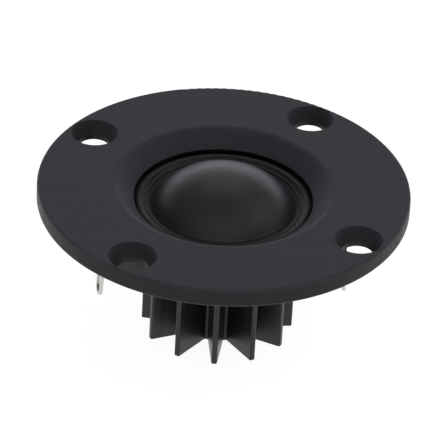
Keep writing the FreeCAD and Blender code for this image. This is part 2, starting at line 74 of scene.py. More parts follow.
# Camera
VIEW_AZIMUTH = math.radians(-12.87)
VIEW_ELEVATION = math.radians(33.6)
VIEW_ROLL = math.radians(3.2)
VIEW_DISTANCE = 0.521
VIEW_LENS = 288.0
VIEW_SENSOR = 36.0
VIEW_NEAR = 0.01
VIEW_FAR = 20.0
VIEW_TARGET = Vector((0.0003, 0.0, -0.0042))

# Room: it glows at the horizon, is dark above that, and has a soft band of light overhead.
# Elevations are in degrees. A side is a bearing from the camera's side of the part.
ROOM_TINT = (1.0, 0.985, 1.05)
HORIZON_LEVEL = 1.0
LOW_ELEVATION = 8
MIDDLE_ELEVATION = 16
GAP_ELEVATIONS = (24, 32)
GAP_LEVEL = 0.04
BAND_SHAPE = ((42, 0.7), (54, 1.0), (68, 0.8))
ZENITH_LEVEL = 0.13
ROOM_SIDES = {
    0: {"low": 0.46, "middle": 0.08, "band": 0.56},
    90: {"low": 0.75, "middle": 0.23, "band": 0.34},
    180: {"low": 1.6, "middle": 0.7, "band": 0.05},
    270: {"low": 0.73, "middle": 0.26, "band": 0.27},
}

# Soft lights: bearing and elevation in degrees, then metres and watts
BACK_SOFTBOX = {"turn": 180, "elevation": 50, "distance": 0.3, "size": 0.22, "power": 0.075}
SIDE_SOFTBOX = {"turn": 100, "elevation": 40, "distance": 0.5, "size": 0.3, "power": 0.10}

# Floor
FLOOR_GLOW = 0.93
FLOOR_GREY = 0.35
FLOOR_ROUGHNESS = 0.8
FLOOR_SHINE = 0.1
FLOOR_GAP = 0.02
FLOOR_RADII = (0.03, 0.06, 0.12, 0.25, 0.5, 1.0, 2.0)
FLOOR_SIDES = 128

# Diaphragm, as in the CAD part. The bead, the valley, the ripples and the leads' sag are added here.
FABRIC_TOP = -0.45
FABRIC_THICKNESS = 0.18
FABRIC_LOW = FABRIC_TOP - FABRIC_THICKNESS
DOME_RADIUS = 10.3
DOME_TOP = 4.45
DOME_RIM = 10.38
DOME_FOOT_ROUND = 0.3
DOME_RIPPLE = 0.012
DOME_RIPPLE_SIZE = 3.6
SURROUND_INNER = 10.42
ROLL_INNER = 11.4
ROLL_OUTER = 12.95
ROLL_HEIGHT = 0.45
ROLL_FULLNESS = 0.8
ROLL_RIPPLE = 0.014
ROLL_RIPPLE_SIZE = 2.2
ROLL_MARGIN = 0.2
CLAMP_MARGIN = 1.2
BEAD_RING_RADIUS = 11.2
BEAD_RING_HALF = 0.28
BEAD_RING_HEIGHT = 0.10
VALLEY_RADIUS = 10.76
VALLEY_HALF = 0.28
VALLEY_DEPTH = 0.18
SURROUND_OUTER = 15.58
LEAD_HEIGHT = -1.1
LEAD_START = 10.13
LEAD_END = 12.93
LEAD_SAG = 0.16
LEAD_RADIUS = 0.1
DIAPHRAGM_STEPS = 240

# Heat sink, as in the CAD part. The rounding of its edges is added here.
FIN_COUNT = 12
FIN_FIRST_ANGLE = math.radians(17.0)
FIN_RADIUS = 11.1
FIN_TIP_THICKNESS = 0.8
FIN_ROOT_THICKNESS = 2.3
FIN_ROOT_TAPER = 0.965
FIN_ROOT_FILLET = 0.2
FIN_TIP_ROUND = 0.22
HUB_RADIUS = 5.2
HUB_BORE_RADIUS = 4.5
SAWN_EDGE = 0.1
GLUED_EDGE = 0.04

# Glue channel, as in the CAD part. The lumps of the epoxy in it are added here.
BEAD_INNER = 13.69
BEAD_OUTER = 14.82
BEAD_HEIGHT = 0.8
BEAD_MIDDLE = 14.25
BEAD_THINNEST = 0.12
BEAD_SWELL = 0.55
BEAD_LUMP_SIZE = 2.1
BEAD_SMALL_LUMP_SIZE = 0.9
BEAD_SMALL_LUMP_SHARE = 0.6
BEAD_CROWN = 0.5
BEAD_DRIFT = 0.25
BEAD_WETTING = 0.35
BEAD_ROUGHNESS = 0.10

# Terminals, as in the CAD part. Their lean and their rounded edges are added here.
TERMINAL_PLACE = 17.6
TERMINAL_THICKNESS = 0.5
STAMPED_EDGE = 0.07
PUNCH_SIDE_SHARE = 0.6
STAMPED_CORNER = 0.08
SHOULDER_CORNER = 0.25
PRONG_HALF = 1.2
PRONG_TOP = -4.7
PEDESTAL_REAR = -8.1
LEAD_HOLE_HEIGHT = -8.9
LEAD_HOLE_RADIUS = 0.55
TAB_HALF = 2.6
TAB_FOOT_HALF = 3.6
TAB_FOOT_HEIGHT = 1.7
TAB_TIP = -16.1
TAB_CORNER = 0.6
TAB_LEAN = 0.13
LATCH_HOLE_RADIUS = 0.8
LATCH_HOLE_HEIGHT = TAB_TIP + 2.1
LUG_HALF = 1.4
LUG_FOOT_HALF = 2.4
LUG_FOOT_HEIGHT = 1.5
LUG_TIP = -14.8
LUG_CORNER = 1.36
LUG_LEAN = 0.07
SLOT_HALF = 0.9
SLOT_CORNER = 0.88
SLOT_TIP = LUG_TIP + 0.5
SLOT_FOOT = SLOT_TIP + 3.4
BEND_START = PEDESTAL_REAR - 1.4
BEND_REACH = 2.0
BEND_STEP = 0.4
KINK_SLOPE = 0.12

# Solder joints
SOLDER_FOOT_RADIUS = 0.82
SOLDER_TOP_RADIUS = 0.12
SOLDER_HEIGHT = 0.34
SOLDER_LIFT = 0.02
SOLDER_FULLNESS = 1.7
SOLDER_UNEVEN = 0.10
SOLDER_LUMP_SIZE = 1.3


# --------------------------------------------------------------------------------------
# Studio
# --------------------------------------------------------------------------------------
def add_camera():
    data = bpy.data.cameras.new("view")
    data.lens = VIEW_LENS
    data.sensor_width = VIEW_SENSOR
    data.clip_start = VIEW_NEAR
    data.clip_end = VIEW_FAR
    camera = bpy.data.objects.new("view", data)
    scene.collection.objects.link(camera)
    away = Vector((
        math.sin(VIEW_AZIMUTH) * math.cos(VIEW_ELEVATION),
        -math.cos(VIEW_AZIMUTH) * math.cos(VIEW_ELEVATION),
        math.sin(VIEW_ELEVATION),
    ))
    camera.location = VIEW_TARGET + away * VIEW_DISTANCE
    aim = away.to_track_quat("Z", "Y").to_matrix().to_4x4()
    camera.rotation_euler = (aim @ Matrix.Rotation(VIEW_ROLL, 4, "Z")).to_euler()
    scene.camera = camera


def from_camera(turn, elevation, distance):
    """A place by its bearing from the camera's side of the part and its elevation, in degrees."""
    side = VIEW_AZIMUTH + math.radians(turn)
    rise = math.radians(elevation)
    return distance * Vector((
        math.sin(side) * math.cos(rise), -math.cos(side) * math.cos(rise), math.sin(rise),
    ))


def add_softbox(name, turn, elevation, distance, size, power):
    place = from_camera(turn, elevation, distance)
    data = bpy.data.lights.new(name, "AREA")
    data.shape = "SQUARE"
    data.size = size
    data.energy = power
    lamp = bpy.data.objects.new(name, data)
    scene.collection.objects.link(lamp)
    lamp.location = place
    lamp.rotation_euler = (-place).to_track_quat("-Z", "Y").to_euler()


def room_levels(low, middle, band):
    """One side's brightness by elevation, from the horizon to the zenith."""
    levels = [(0, HORIZON_LEVEL), (LOW_ELEVATION, low), (MIDDLE_ELEVATION, middle)]
    levels += [(elevation, GAP_LEVEL) for elevation in GAP_ELEVATIONS]
    levels += [(elevation, band * share) for elevation, share in BAND_SHAPE]
    return levels + [(90, ZENITH_LEVEL)]


def add_world():
    """A plain surround: each side has its brightness by height, and the sides blend into each other."""
    world = bpy.data.worlds.new("studio")
    scene.world = world
    world.use_nodes = True
    tree = world.node_tree

    def calc(operation, first, second):
        made = tree.nodes.new("ShaderNodeMath")
        made.operation = operation
        for socket, value in zip(made.inputs, (first, second)):
            if isinstance(value, bpy.types.NodeSocket):
                tree.links.new(value, socket)
            else:
                socket.default_value = value
        return made.outputs[0]

    where = tree.nodes.new("ShaderNodeTexCoord")
    split = tree.nodes.new("ShaderNodeSeparateXYZ")
    tree.links.new(where.outputs["Generated"], split.inputs[0])
    level_way = tree.nodes.new("ShaderNodeCombineXYZ")
    tree.links.new(split.outputs["X"], level_way.inputs["X"])
    tree.links.new(split.outputs["Y"], level_way.inputs["Y"])
    bearing = tree.nodes.new("ShaderNodeVectorMath")
    bearing.operation = "NORMALIZE"
    tree.links.new(level_way.outputs[0], bearing.inputs[0])
    total = 0.0
    for turn, side in ROOM_SIDES.items():
        levels = room_levels(**side)
        ramp = tree.nodes.new("ShaderNodeValToRGB")
        tree.links.new(split.outputs["Z"], ramp.inputs[0])
        stops = ramp.color_ramp.elements
        while len(stops) < len(levels):
            stops.new(1.0)
        for stop, (elevation, level) in zip(stops, levels):
            stop.position = math.sin(math.radians(elevation))
            stop.color = (level, level, level, 1.0)
        facing = tree.nodes.new("ShaderNodeVectorMath")
        facing.operation = "DOT_PRODUCT"
        tree.links.new(bearing.outputs[0], facing.inputs[0])
        facing.inputs[1].default_value = from_camera(turn, 0, 1.0)
        # The squared cosines of bearings a quarter turn apart add up to one
        share = calc("POWER", calc("MAXIMUM", facing.outputs["Value"], 0.0), 2.0)
        total = calc("ADD", total, calc("MULTIPLY", ramp.outputs[0], share))
    background = tree.nodes["Background"]
    background.inputs["Color"].default_value = (*ROOM_TINT, 1.0)
    tree.links.new(total, background.inputs["Strength"])


def add_floor():
    steps = FLOOR_SIDES
    mesh = bmesh.new()
    centre = mesh.verts.new((0, 0, 0))
    inner = None
    for radius in FLOOR_RADII:
        outer = [
            mesh.verts.new((radius * math.cos(TURN * i / steps), radius * math.sin(TURN * i / steps), 0))
            for i in range(steps)
        ]
        for i in range(steps):
            j = (i + 1) % steps
            if inner is None:
                mesh.faces.new((centre, outer[i], outer[j]))
            else:
                mesh.faces.new((inner[i], outer[i], outer[j], inner[j]))
        inner = outer
    data = bpy.data.meshes.new("floor")
    mesh.to_mesh(data)
    mesh.free()
    floor = bpy.data.objects.new("floor", data)
    scene.collection.objects.link(floor)
    floor.location.z = cad_low.z - FLOOR_GAP * MM
    look = bpy.data.materials.new("floor_white")
    look.use_nodes = True
    shader = look.node_tree.nodes["Principled BSDF"]
    shader.inputs["Base Color"].default_value = (FLOOR_GREY, FLOOR_GREY, FLOOR_GREY, 1)
    shader.inputs["Roughness"].default_value = FLOOR_ROUGHNESS
    shader.inputs["Specular IOR Level"].default_value = FLOOR_SHINE
    shader.inputs["Emission Color"].default_value = (1, 1, 1, 1)
    shader.inputs["Emission Strength"].default_value = FLOOR_GLOW
    data.materials.append(look)


# --------------------------------------------------------------------------------------
# Materials
# --------------------------------------------------------------------------------------
# Noise seldom leaves 0.3 to 0.7, so one of these ranges of it is stretched over a whole blend
NOISE_WIDE = (0.3, 0.7)
NOISE_MIDDLE = (0.35, 0.65)
NOISE_UPPER = (0.35, 0.7)
BEVEL_SAMPLES = 6

# Colours, linear. A pair is the two ends of a blend.
DUST_GREY = (0.35, 0.34, 0.33)
LINT_GREY = (0.3, 0.3, 0.32)
SHEEN_BLUE = (0.75, 0.8, 0.95)
ANODISED_SIDE = ((0.013, 0.013, 0.0145), (0.024, 0.024, 0.026))
ANODISED_SAWN = ((0.038, 0.038, 0.041), (0.062, 0.062, 0.065))
ANODISED_WORN = (0.13, 0.13, 0.135)
ZINC_BLUE_TO_YELLOW = ((0.70, 0.75, 0.78), (0.80, 0.80, 0.70))
ZINC_CLEAR = (0.78, 0.79, 0.78)
ZINC_SCRATCH = (0.5, 0.5, 0.5)
EPOXY_BLACK = ((0.006, 0.006, 0.007), (0.013, 0.013, 0.014))
TIN = ((0.52, 0.52, 0.53), (0.62, 0.62, 0.61))
TIN_TORN_TO_BRASS = (0.62, 0.50, 0.28)
SOLDER = ((0.60, 0.60, 0.62), (0.78, 0.78, 0.79))
FLUX_AMBER = (0.42, 0.30, 0.14)
COPPER_STRANDS = ((0.70, 0.36, 0.20), (0.44, 0.20, 0.11))
ENAMEL = ((0.030, 0.014, 0.008), (0.055, 0.026, 0.014))
ENAMEL_WORN = (0.40, 0.18, 0.09)
WINDING = ((0.40, 0.14, 0.05), (0.72, 0.33, 0.16))
VARNISH = (0.5, 0.17, 0.06)
FOIL = ((0.68, 0.68, 0.70), (0.82, 0.82, 0.82))
NICKEL = ((0.66, 0.64, 0.60), (0.76, 0.74, 0.70))
FELT_GREY = ((0.08, 0.08, 0.085), (0.22, 0.22, 0.23))
FOAM_BLACK = ((0.012, 0.012, 0.013), (0.035, 0.035, 0.036))
DOME_FABRIC = ((0.0062, 0.0062, 0.0092), (0.0108, 0.0108, 0.0162))
SURROUND_FABRIC = ((0.0048, 0.0048, 0.0060), (0.0085, 0.0085, 0.0105))
# Painted shade: the flange's colour on steep faces, much darker than on flat faces, stands in for less
# light reaching the sides.
FLANGE_STEEP_PAINTED_SHADE = (0.0080, 0.0078, 0.0090)
FLANGE_FLAT = ((0.0680, 0.0662, 0.0770), (0.0860, 0.0838, 0.0970))
# Painted shade for the ring's steep faces, as for the flange.
RING_STEEP_PAINTED_SHADE = (0.0120, 0.0120, 0.0130)
RING_FLAT = ((0.0170, 0.0170, 0.0180), (0.0250, 0.0250, 0.0265))
GLUE_AMBER = ((0.30, 0.20, 0.08), (0.46, 0.33, 0.15))
GLUE_GREY = ((0.16, 0.16, 0.17), (0.26, 0.26, 0.27))

# Repeat distances, in millimetres
WEAVE_PITCH = 0.17
STRAND_PITCH = 0.09
WINDING_PITCH = 0.12

# The colour sockets of a Mix node
MIX_FIRST = 6
MIX_SECOND = 7
MIX_RESULT = 2


class Finish:
    """One procedural material, in the object's own coordinates, with sizes in millimetres."""

    def __init__(self, name, **constants):
        self.material = bpy.data.materials.new(name)
        self.material.use_nodes = True
        self.tree = self.material.node_tree
        self.shader = self.tree.nodes["Principled BSDF"]
        where = self.tree.nodes.new("ShaderNodeTexCoord")
        self.here = where.outputs["Object"]
        self.facing = where.outputs["Normal"]
        for socket, value in constants.items():
            self.give(self.shader.inputs[socket.replace("_", " ")], value)

    def give(self, socket, value):
        """Link a socket, or set its constant."""
        if isinstance(value, bpy.types.NodeSocket):
            self.tree.links.new(value, socket)
        elif isinstance(value, tuple) and len(value) == 3 and socket.type == "RGBA":
            socket.default_value = (*value, 1.0)
        else:
            socket.default_value = value

    def node(self, kind, **sockets):
        made = self.tree.nodes.new(kind)
        for socket, value in sockets.items():
            self.give(made.inputs[socket.replace("_", " ")], value)
        return made

    def calc(self, operation, first, second=0.0):
        made = self.tree.nodes.new("ShaderNodeMath")
        made.operation = operation
        self.give(made.inputs[0], first)
        self.give(made.inputs[1], second)
        return made.outputs[0]

    def vector(self, operation, first, second):
        made = self.tree.nodes.new("ShaderNodeVectorMath")
        made.operation = operation
        self.give(made.inputs[0], first)
        self.give(made.inputs[1], second)
        return made

    def axes(self, vector):
        split = self.node("ShaderNodeSeparateXYZ", Vector=vector)
        return split.outputs[0], split.outputs[1], split.outputs[2]

    def radius(self):
        """Distance from the tweeter's axis, in millimetres."""
        flat = self.vector("MULTIPLY", self.here, (1 / MM, 1 / MM, 0.0))
        return self.vector("LENGTH", flat.outputs[0], (0.0, 0.0, 0.0)).outputs["Value"]

    def grain(self, size, detail=3.0, roughness=0.6, shift=0.0):
        """Noise whose features are about this size, a number or one size for each axis."""
        sizes = size if isinstance(size, tuple) else (size, size, size)
        scaled = self.vector("MULTIPLY", self.here, tuple(1 / (MM * s) for s in sizes)).outputs[0]
        moved = self.vector("ADD", scaled, (shift, shift, shift)).outputs[0]
        return self.noise_at(moved, detail, roughness)

    def noise_at(self, vector, detail=3.0, roughness=0.55):
        return self.node(
            "ShaderNodeTexNoise", Vector=vector, Scale=1.0, Detail=detail, Roughness=roughness
        ).outputs[0]

    def rings(self, size, detail=3.0):
        """Noise that depends only on the distance from the axis, as a lathe tool leaves it."""
        along = self.node("ShaderNodeCombineXYZ", X=self.calc("DIVIDE", self.radius(), size))
        return self.noise_at(along.outputs[0], detail)

    def cells(self, size, shift=0.0):
        """Distance to the nearest of scattered points about this far apart, and a value per point."""
        scaled = self.vector("MULTIPLY", self.here, (1 / (MM * size),) * 3).outputs[0]
        moved = self.vector("ADD", scaled, (shift, shift, shift)).outputs[0]
        made = self.node("ShaderNodeTexVoronoi", Vector=moved, Scale=1.0)
        return made.outputs["Distance"], self.axes(made.outputs["Color"])[0]

    def spread(self, value, low, high, to_low=0.0, to_high=1.0):
        made = self.tree.nodes.new("ShaderNodeMapRange")
        made.clamp = True
        for place, amount in enumerate((value, low, high, to_low, to_high)):
            self.give(made.inputs[place], amount)
        return made.outputs[0]

    def blend(self, factor, first, second):
        made = self.tree.nodes.new("ShaderNodeMix")
        made.data_type = "RGBA"
        self.give(made.inputs[0], factor)
        self.give(made.inputs[MIX_FIRST], first)
        self.give(made.inputs[MIX_SECOND], second)
        return made.outputs[MIX_RESULT]

    def lines(self, value, pitch):
        """A wave from 0 to 1 along a coordinate in metres."""
        turned = self.calc("MULTIPLY", value, TURN / (pitch * MM))
        return self.calc("MULTIPLY_ADD", self.calc("SINE", turned), 0.5)

    def specks(self, size, share, spot, shift=0.0):
        """A mask of small spots, in this share of the cells."""
        distance, chance = self.cells(size, shift)
        chosen = self.calc("GREATER_THAN", chance, 1.0 - share)
        near = self.spread(distance, spot * 0.6, spot, 1.0, 0.0)
        return self.calc("MULTIPLY", chosen, near)

    def soft_normal(self, radius):
        """The normal with the sharp edges of the mesh rounded off."""
        made = self.node("ShaderNodeBevel", Radius=radius * MM)
        made.samples = BEVEL_SAMPLES
        return made.outputs[0]

    def edge_wear(self, soft, low=0.02, high=0.25):
        """A mask that is high where the rounded normal leaves the true one."""
        true = self.tree.nodes.new("ShaderNodeNewGeometry").outputs["Normal"]
        agree = self.vector("DOT_PRODUCT", soft, true).outputs["Value"]
        return self.spread(agree, 1.0 - low, 1.0 - high)

    def bump(self, height, depth, normal=None):
        made = self.node("ShaderNodeBump", Height=height, Distance=depth * MM, Strength=1.0)
        if normal is not None:
            self.give(made.inputs["Normal"], normal)
        return made.outputs[0]

    def finish(self, **sockets):
        for socket, value in sockets.items():
            self.give(self.shader.inputs[socket.replace("_", " ")], value)
        return self.material


def moulded_plastic(name, steep_shade, dark, light, grain_size, depth, rough, edge_round):
    """Black moulded plastic with a fine mould grain, flow marks and dust, and painted shade: steep faces
    are painted much darker than flat ones.
    """
    f = Finish(name, Metallic=0.0, Specular_IOR_Level=0.27)
    fine = f.grain(grain_size, detail=4.0, roughness=0.65)
    coarse = f.grain(grain_size * 3.1, detail=2.0, roughness=0.5, shift=7.0)
    flow = f.grain((9.0, 2.6, 9.0), detail=2.0, roughness=0.5, shift=3.0)
    soft = f.soft_normal(edge_round)
    wear = f.calc("MULTIPLY", f.edge_wear(soft), f.spread(f.grain(0.9, shift=11.0), *NOISE_UPPER))
    tone = f.calc("ADD", f.calc("MULTIPLY", fine, 0.35), f.calc("MULTIPLY", flow, 0.65))
    # Painted shade: how flat the face lies sets how dark its colour is painted.
    flat = f.calc("ABSOLUTE", f.axes(f.facing)[2])
    colour = f.blend(f.spread(tone, *NOISE_MIDDLE), dark, light)
    # Painted shade: steep faces such as the rim get the dark colour, and flat faces the lighter one.
    colour = f.blend(f.spread(flat, 0.1, 0.8), steep_shade, colour)
    colour = f.blend(f.calc("MULTIPLY", wear, 0.3), colour, tuple(c * 1.8 for c in light))
    dust = f.specks(1.9, 0.10, 0.045, 5.0)
    colour = f.blend(f.calc("MULTIPLY", dust, 0.25), colour, DUST_GREY)
    roughness = f.spread(f.calc("ADD", coarse, flow), 0.7, 1.3, rough[0], rough[1])
    height = f.calc("ADD", fine, f.calc("MULTIPLY", coarse, 0.8))
    return f.finish(Base_Color=colour, Roughness=roughness, Normal=f.bump(height, depth, soft))


def coated_fabric(name, dark, light, rough, shine):
    """A pressed fine weave under a thin damping coat."""
    f = Finish(
        name, Metallic=0.0, Specular_IOR_Level=shine, Sheen_Weight=0.12, Sheen_Roughness=0.45,
        Sheen_Tint=SHEEN_BLUE,
    )
    x, y, _ = f.axes(f.here)
    warp = f.calc("SINE", f.calc("MULTIPLY", x, TURN / (WEAVE_PITCH * MM)))
    weft = f.calc("SINE", f.calc("MULTIPLY", y, TURN / (WEAVE_PITCH * MM)))
    weave = f.spread(f.calc("MULTIPLY", warp, weft), -1.0, 1.0)
    pool = f.grain(1.3)
    fluff = f.grain(0.12, roughness=0.7, shift=4.0)
    colour = f.blend(f.spread(pool, *NOISE_UPPER), dark, light)
    colour = f.blend(f.calc("MULTIPLY", weave, 0.3), colour, light)
    lint = f.specks(1.5, 0.06, 0.04, 2.0)
    colour = f.blend(f.calc("MULTIPLY", lint, 0.25), colour, LINT_GREY)
    roughness = f.spread(f.calc("ADD", pool, f.calc("MULTIPLY", weave, 0.25)), 0.4, 0.9, *rough)
    height = f.calc("ADD", f.calc("MULTIPLY", weave, 0.5), f.calc("MULTIPLY", fluff, 0.6))
    return f.finish(Base_Color=colour, Roughness=roughness, Normal=f.bump(height, 0.012))


def anodised():
    """Black anodised extrusion: die lines along the fins, and saw marks on the cut ends."""
    f = Finish("anodised_aluminium", Metallic=0.35, Specular_IOR_Level=0.5)
    die = f.grain((0.07, 0.07, 9.0))
    broad = f.grain((0.6, 0.6, 14.0), detail=2.0, roughness=0.5, shift=5.0)
    saw = f.grain((6.0, 0.09, 6.0), detail=4.0, roughness=0.7, shift=2.0)
    cut = f.spread(f.calc("ABSOLUTE", f.axes(f.facing)[2]), 0.75, 0.95)
    wear = f.edge_wear(f.soft_normal(0.12))
    side = f.blend(f.spread(broad, *NOISE_MIDDLE), *ANODISED_SIDE)
    sawn = f.blend(f.spread(saw, *NOISE_WIDE), *ANODISED_SAWN)
    colour = f.blend(cut, side, sawn)
    colour = f.blend(f.calc("MULTIPLY", wear, 0.25), colour, ANODISED_WORN)
    roughness = f.spread(f.calc("ADD", broad, f.calc("MULTIPLY", cut, 0.5)), 0.35, 1.1, 0.33, 0.5)
    drawn = f.calc("MULTIPLY", die, f.calc("SUBTRACT", 1.0, cut))
    height = f.calc("ADD", drawn, f.calc("MULTIPLY", saw, cut))
    return f.finish(Base_Color=colour, Roughness=roughness, Normal=f.bump(height, 0.012))


def zinc_plate(name, edge_round):
    """Bright zinc with a faint yellow and blue passivation, over turned steel."""
    f = Finish(name, Metallic=1.0)
    tint = f.grain(5.5, roughness=0.5)
    cloud = f.grain(2.1, shift=9.0)
    colour = f.blend(f.spread(tint, *NOISE_MIDDLE), *ZINC_BLUE_TO_YELLOW)
    colour = f.blend(f.spread(cloud, *NOISE_UPPER), colour, ZINC_CLEAR)
    marks = f.rings(0.11)
    fine = f.grain(0.14, roughness=0.7, shift=3.0)
    scratch = f.spread(f.grain((3.2, 0.035, 3.2), detail=2.0, roughness=0.5, shift=1.0), 0.66, 0.72)
    colour = f.blend(f.calc("MULTIPLY", scratch, 0.3), colour, ZINC_SCRATCH)
    roughness = f.spread(f.calc("ADD", cloud, f.calc("MULTIPLY", scratch, 0.3)), 0.3, 0.9, 0.11, 0.26)
    height = f.calc("ADD", f.calc("MULTIPLY", marks, 0.7), f.calc("MULTIPLY", fine, 0.3))
    normal = f.bump(height, 0.004, f.soft_normal(edge_round))
    return f.finish(Base_Color=colour, Roughness=roughness, Normal=normal)


def epoxy():
    """Glossy black epoxy with small trapped bubbles and a dulled skin in places."""
    f = Finish("black_epoxy", Metallic=0.0, Specular_IOR_Level=0.55, Coat_Weight=0.35,
               Coat_Roughness=0.05)
    skin = f.grain(0.9)
    bubbles = f.specks(0.55, 0.35, 0.2)
    colour = f.blend(skin, *EPOXY_BLACK)
    roughness = f.spread(skin, *NOISE_UPPER, 0.07, 0.24)
    height = f.calc("SUBTRACT", f.calc("MULTIPLY", skin, 0.5), f.calc("MULTIPLY", bubbles, 0.5))
    return f.finish(Base_Color=colour, Roughness=roughness, Normal=f.bump(height, 0.05))


def tin_plate():
    """Dull tin over brass: clouded faces, and brass showing along the sheared edges."""
    f = Finish("tinned_brass", Metallic=1.0)
    cloud = f.grain(1.1, detail=4.0)
    fine = f.grain(0.09, roughness=0.7, shift=4.0)
    rolled = f.grain((0.3, 0.05, 3.5), detail=2.0, roughness=0.5, shift=2.0)
    colour = f.blend(f.spread(cloud, *NOISE_WIDE), *TIN)
    edge = f.spread(f.calc("ABSOLUTE", f.axes(f.facing)[0]), 0.5, 0.15)
    torn = f.calc("MULTIPLY", edge, f.spread(f.grain((0.12, 0.5, 0.5), shift=8.0), 0.5, 0.62))
    colour = f.blend(f.calc("MULTIPLY", torn, 0.6), colour, TIN_TORN_TO_BRASS)
    roughness = f.spread(f.calc("ADD", cloud, fine), 0.7, 1.3, 0.24, 0.44)
    height = f.calc("ADD", f.calc("MULTIPLY", fine, 0.4), f.calc("MULTIPLY", rolled, 0.6))
    return f.finish(Base_Color=colour, Roughness=roughness, Normal=f.bump(height, 0.006))


def solder_metal():
    """Bright solder with a frosted, slightly wrinkled skin and a trace of amber flux."""
    f = Finish("solder_metal", Metallic=1.0)
    frost = f.grain(0.22, detail=4.0, roughness=0.65)
    flux = f.spread(f.grain(0.6, detail=2.0, roughness=0.5, shift=6.0), 0.55, 0.7)
    colour = f.blend(frost, *SOLDER)
    colour = f.blend(f.calc("MULTIPLY", flux, 0.35), colour, FLUX_AMBER)
    return f.finish(
        Base_Color=colour, Roughness=f.spread(frost, *NOISE_WIDE, 0.15, 0.38),
        Normal=f.bump(frost, 0.02),
    )


def stranded_wire():
    """Fine tinsel strands laid round the wire."""
    f = Finish("copper_strands", Metallic=1.0)
    x, y, z = f.axes(f.here)
    lay = f.calc("ADD", f.calc("ADD", x, y), z)
    strands = f.lines(lay, STRAND_PITCH)
    tarnish = f.grain(0.4)
    colour = f.blend(f.spread(tarnish, *NOISE_UPPER), *COPPER_STRANDS)
    return f.finish(
        Base_Color=colour, Roughness=f.spread(tarnish, *NOISE_WIDE, 0.25, 0.42),
        Normal=f.bump(strands, 0.02),
    )


def enamelled_wire():
    """Dark enamelled wire, worn through here and there."""
    f = Finish("enamelled_wire", Metallic=0.0, Specular_IOR_Level=0.5, Coat_Weight=0.5,
               Coat_Roughness=0.15)
    worn = f.spread(f.grain(0.5), 0.62, 0.7)
    drawn = f.grain((0.05, 0.05, 1.5), detail=2.0, roughness=0.5)
    colour = f.blend(drawn, *ENAMEL)
    colour = f.blend(f.calc("MULTIPLY", worn, 0.6), colour, ENAMEL_WORN)
    return f.finish(
        Base_Color=colour, Roughness=f.spread(drawn, *NOISE_WIDE, 0.3, 0.45),
        Normal=f.bump(drawn, 0.006),
    )


def copper_winding():
    """Turns of enamelled wire, side by side down the coil."""
    f = Finish("copper_winding", Metallic=1.0, Coat_Weight=0.6, Coat_Roughness=0.12)
    _, _, z = f.axes(f.here)
    turns = f.lines(z, WINDING_PITCH)
    varnish = f.grain(1.2)
    colour = f.blend(turns, *WINDING)
    colour = f.blend(f.calc("MULTIPLY", varnish, 0.3), colour, VARNISH)
    return f.finish(
        Base_Color=colour, Roughness=f.spread(varnish, *NOISE_WIDE, 0.2, 0.34),
        Normal=f.bump(turns, 0.03),
    )


def former_foil():
    f = Finish("former_foil", Metallic=1.0)
    rolled = f.grain((0.08, 0.08, 2.5))
    colour = f.blend(rolled, *FOIL)
    return f.finish(
        Base_Color=colour, Roughness=f.spread(rolled, *NOISE_WIDE, 0.2, 0.36),
        Normal=f.bump(rolled, 0.003),
    )


def nickel_plate():
    f = Finish("nickel_plate", Metallic=1.0)
    peel = f.grain(0.5)
    fine = f.grain(0.08, detail=2.0, shift=4.0)
    colour = f.blend(peel, *NICKEL)
    return f.finish(
        Base_Color=colour, Roughness=f.spread(fine, *NOISE_WIDE, 0.12, 0.24),
        Normal=f.bump(f.calc("ADD", peel, fine), 0.004, f.soft_normal(0.1)),
    )


def felt():
    f = Finish("wool_felt", Metallic=0.0, Sheen_Weight=0.5, Sheen_Roughness=0.6,
               Specular_IOR_Level=0.1)
    fibres = f.grain((0.5, 0.07, 0.2), detail=4.0, roughness=0.7)
    crossing = f.grain((0.07, 0.5, 0.2), detail=4.0, roughness=0.7, shift=5.0)
    both = f.calc("MAXIMUM", fibres, crossing)
    colour = f.blend(both, *FELT_GREY)
    return f.finish(
        Base_Color=colour, Roughness=f.spread(both, 0.3, 0.8, 0.8, 0.95),
        Normal=f.bump(both, 0.12),
    )


def foam():
    f = Finish("gasket_foam", Metallic=0.0, Specular_IOR_Level=0.25)
    distance, _ = f.cells(0.18)
    colour = f.blend(distance, *FOAM_BLACK)
    return f.finish(
        Base_Color=colour, Roughness=f.spread(distance, 0.0, 1.0, 0.7, 0.9),
        Normal=f.bump(distance, 0.05),
    )


def glue(name, dark, light, rough):
    f = Finish(name, Metallic=0.0, Specular_IOR_Level=0.5)
    skin = f.grain(0.7)
    return f.finish(
        Base_Color=f.blend(skin, dark, light), Roughness=f.spread(skin, *NOISE_WIDE, *rough),
        Normal=f.bump(skin, 0.02),
    )


# --------------------------------------------------------------------------------------
# Mesh code
# --------------------------------------------------------------------------------------
def mesh_from(name, points, faces):
    data = bpy.data.meshes.new(name)
    data.from_pydata([tuple(c * MM for c in p) for p in points], [], faces)
    data.validate()
    tidy = bmesh.new()
    tidy.from_mesh(data)
    bmesh.ops.recalc_face_normals(tidy, faces=tidy.faces)
    tidy.to_mesh(data)
    tidy.free()
    for polygon in data.polygons:
        polygon.use_smooth = True
    return data


def add_piece(name, data, finish, slot, *stands_for):
    made = bpy.data.objects.new(name, data)
    scene.collection.objects.link(made)
    data.materials.append(finish)
    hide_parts(*stands_for)
    return made


def even_normals(made):
    """Let large flat faces keep their own normal beside small rounded edges."""
    modifier = made.modifiers.new("even_normals", "WEIGHTED_NORMAL")
    modifier.keep_sharp = True
    modifier.weight = 60


def arc(centre, radius, start, end, steps):
    return [
        (centre[0] + radius * math.cos(start + (end - start) * i / steps),
         centre[1] + radius * math.sin(start + (end - start) * i / steps))
        for i in range(steps + 1)
    ]


